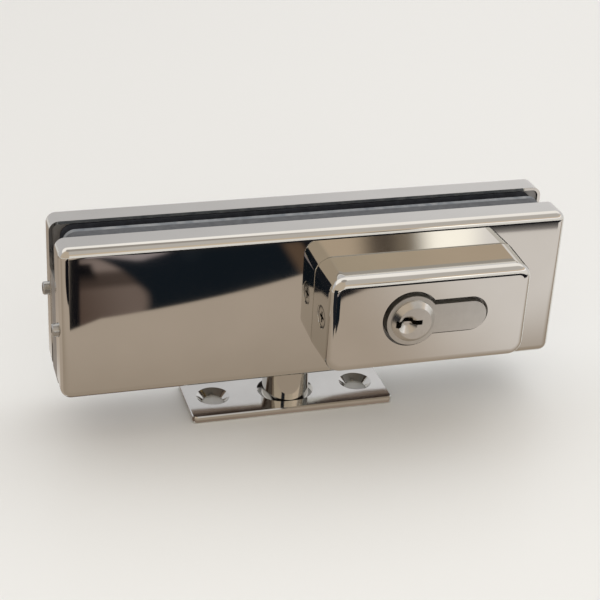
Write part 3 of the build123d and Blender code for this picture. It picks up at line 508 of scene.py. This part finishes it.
def near_left(f):
    return f.mix(*NEAR_LEFT_TONES, f.step(f.y, *NEAR_LEFT_TURNS))


near_left_corners = lying(LEFT_END, PLATE_LEFT - PLATE_GAP, TABLE_END, NEAR_LEFT_REAR, LOW_HEIGHT)
card("near_left", near_left_corners, near_left)

# Face down under the lock's rear half: the front strip of the strike plate mirrors it, as a painted
# reflection, dark at the front and brown towards the back
LOW_BACK_GAP = 0.0004
LOW_BACK_HEIGHT = COVER_BOTTOM - LOW_BACK_GAP
LOW_BACK_OUTLINE = (
    (-0.036, 0.006),
    (-0.036, 0.0134),
    (-0.027, 0.013),
    (-0.005, 0.0117),
    (0.008, 0.01),
    (0.013, 0.0096),
    (0.022, 0.0125),
    (0.034, 0.0136),
    (0.06, 0.0125),
    (0.06, 0.006),
)
LOW_BACK_TURNS = (0.0096, 0.0106)
LOW_BACK_TONES = ((0.035, 0.022, 0.017), (0.19, 0.142, 0.11))


def low_back(f):
    return f.mix(*LOW_BACK_TONES, f.step(f.y, *LOW_BACK_TURNS))


card("low_back", [(x, y, LOW_BACK_HEIGHT) for x, y in LOW_BACK_OUTLINE], low_back)

# To the left of the lock and behind it, for the covers' left ends: a painted reflection of the floor in
# shade, beige, fading to the floor's tone further back and along its edge by the lock
TABLE_LEFT = -0.6
TABLE_LEFT_TURNS = (0.02, 0.12)
TABLE_LEFT_FADES = (0.15, 0.32)
TABLE_LEFT_EDGE = (-0.0835, -0.078)


def table_left(f):
    near = f.mix(BEIGE, BEIGE_FAR, f.step(f.y, *TABLE_LEFT_TURNS))
    far = f.mix(near, FLOOR_TONE, f.step(f.y, *TABLE_LEFT_FADES))
    return f.mix(far, FLOOR_TONE, f.step(f.x, *TABLE_LEFT_EDGE))


card("table_left", lying(TABLE_LEFT, LEFT_END, TABLE_END, TABLE_REACH, TABLE_HEIGHT), table_left)

# Two upright cards for the housing's left wall, painted reflections: a dark one and a light one
SIDE_DARK_X = -0.028
SIDE_DARK_OUTLINE = ((-0.1, 0.0056), (-0.07, 0.0096), (-0.045, 0.03), (-0.045, 0.062), (-0.1, 0.062))
SIDE_DARK_TURNS = (-0.09, -0.07)
SIDE_DARK_END = (0.015, 0.018, 0.024)
SIDE_LIGHT_X = -0.008
SIDE_LIGHT_OUTLINE = ((-0.077, 0.0122), (-0.056, 0.0232), (-0.056, 0.026), (-0.077, 0.0172))
SIDE_LIGHT_TURNS = (-0.075, -0.062)
SIDE_LIGHT_TONES = ((0.52, 0.44, 0.36), (0.48, 0.405, 0.33))


def side_dark(f):
    return f.mix(BLACK, SIDE_DARK_END, f.step(f.y, *SIDE_DARK_TURNS))


def side_light(f):
    return f.mix(*SIDE_LIGHT_TONES, f.step(f.y, *SIDE_LIGHT_TURNS))


card("side_dark", [(SIDE_DARK_X, y, z) for y, z in SIDE_DARK_OUTLINE], side_dark)
card("side_light", [(SIDE_LIGHT_X, y, z) for y, z in SIDE_LIGHT_OUTLINE], side_light)

# The room, by direction: X and Z are parts of a unit vector, and Y parts the front from the back
BACK_LEFT = (0.62, 0.61, 0.62)
BACK_RIGHT = (0.80, 0.79, 0.80)
BACK_TURNS = (0.1, 0.45)
BACK_CEILING = ((0.57, 0.66, (1.2, 1.16, 1.12)),)
LOW_LEFT = (0.78, 0.635, 0.49)
LOW_STRIPES = (
    (0.302, 0.32, (0.11, 0.085, 0.068)),
    (0.327, 0.334, (0.29, 0.235, 0.18)),
    (0.339, 0.356, (2.0, 1.95, 1.85)),
    (0.372, 0.39, (1.35, 1.32, 1.35)),
)
HIGH_LEFT = (0.68, 0.575, 0.45)
HIGH_STRIPES = ((0.3, 0.38, (0.80, 0.66, 0.52)),)
HIGH_CEILING = ((0.56, 0.62, (0.62, 0.585, 0.55)),)
LOW_ENDS = (0.41, 0.45)
HORIZON = (0.95, 0.92, 0.88)
HORIZON_ENDS = (0.3, 0.34)
LEFT_WALL = (0.62, 0.52, 0.41)
LEFT_WALL_ENDS = (0.02, 0.14)
BACK_STARTS = (-0.1, 0.1)
ZENITH = ((0.94, 0.975, (0.40, 0.365, 0.33)),)


def room(f):
    back = f.mix(BACK_LEFT, BACK_RIGHT, f.step(f.x, *BACK_TURNS))
    back = f.stripes(back, f.z, BACK_CEILING)
    low = f.stripes(LOW_LEFT, f.x, LOW_STRIPES)
    high = f.stripes(HIGH_LEFT, f.x, HIGH_STRIPES)
    high = f.stripes(high, f.z, HIGH_CEILING)
    front = f.mix(low, high, f.step(f.z, *LOW_ENDS))
    front = f.mix(HORIZON, front, f.step(f.z, *HORIZON_ENDS))
    front = f.mix(LEFT_WALL, front, f.step(f.x, *LEFT_WALL_ENDS))
    sky = f.mix(front, back, f.step(f.y, *BACK_STARTS))
    return f.stripes(sky, f.z, ZENITH)


def set_world():
    w = bpy.data.worlds.new("studio")
    bpy.context.scene.world = w
    w.use_nodes = True
    nt = w.node_tree
    nt.nodes.clear()
    out = nt.nodes.new("ShaderNodeOutputWorld")
    bg = nt.nodes.new("ShaderNodeBackground")
    bg.inputs["Strength"].default_value = 1.0
    nt.links.new(room(Field(nt, "Generated")), bg.inputs["Color"])
    nt.links.new(bg.outputs["Background"], out.inputs["Surface"])


set_world()


# Lamps: square, aimed at the origin, and not mirrored themselves
def lamp(name, place, size, power):
    d = bpy.data.lights.new(name, "AREA")
    d.energy = power
    d.shape = "SQUARE"
    d.size = size
    o = bpy.data.objects.new(name, d)
    o.location = place
    o.rotation_euler = (-Vector(place)).to_track_quat("-Z", "Y").to_euler()
    o.visible_glossy = False
    bpy.context.collection.objects.link(o)


lamp("key", (0.6, 0.5, 1.6), 1.6, 6.9)
lamp("fill", (-0.3, -1.3, 0.8), 1.4, 7.0)

# Camera: solved from the covers' straight edges and the strike plate in the photo
AZIMUTH = radians(-17.66)
ELEVATION = radians(27.67)
ROLL = radians(3.316)
FOCAL_PIXELS = 1531.663
PHOTO_PIXELS = 600
SENSOR_WIDTH = 36.0
CLIP_START = 0.01
CAMERA_PLACE = (-0.13041, -0.42077, 0.26717)


def set_camera():
    back = Vector((sin(AZIMUTH) * cos(ELEVATION), -cos(AZIMUTH) * cos(ELEVATION), sin(ELEVATION)))
    level = (-back).cross(Vector((0, 0, 1))).normalized()
    upright = level.cross(-back)
    right = cos(ROLL) * level + sin(ROLL) * upright
    up = -sin(ROLL) * level + cos(ROLL) * upright
    cam = bpy.data.cameras.new("camera")
    cam.sensor_fit = "HORIZONTAL"
    cam.sensor_width = SENSOR_WIDTH
    cam.lens = FOCAL_PIXELS / PHOTO_PIXELS * SENSOR_WIDTH
    cam.clip_start = CLIP_START
    camera = bpy.data.objects.new("camera", cam)
    turn = Matrix((right, up, back)).transposed().to_4x4()
    turn.translation = Vector(CAMERA_PLACE)
    camera.matrix_world = turn
    bpy.context.collection.objects.link(camera)
    bpy.context.scene.camera = camera


set_camera()
bpy.context.scene.view_settings.view_transform = "Standard"
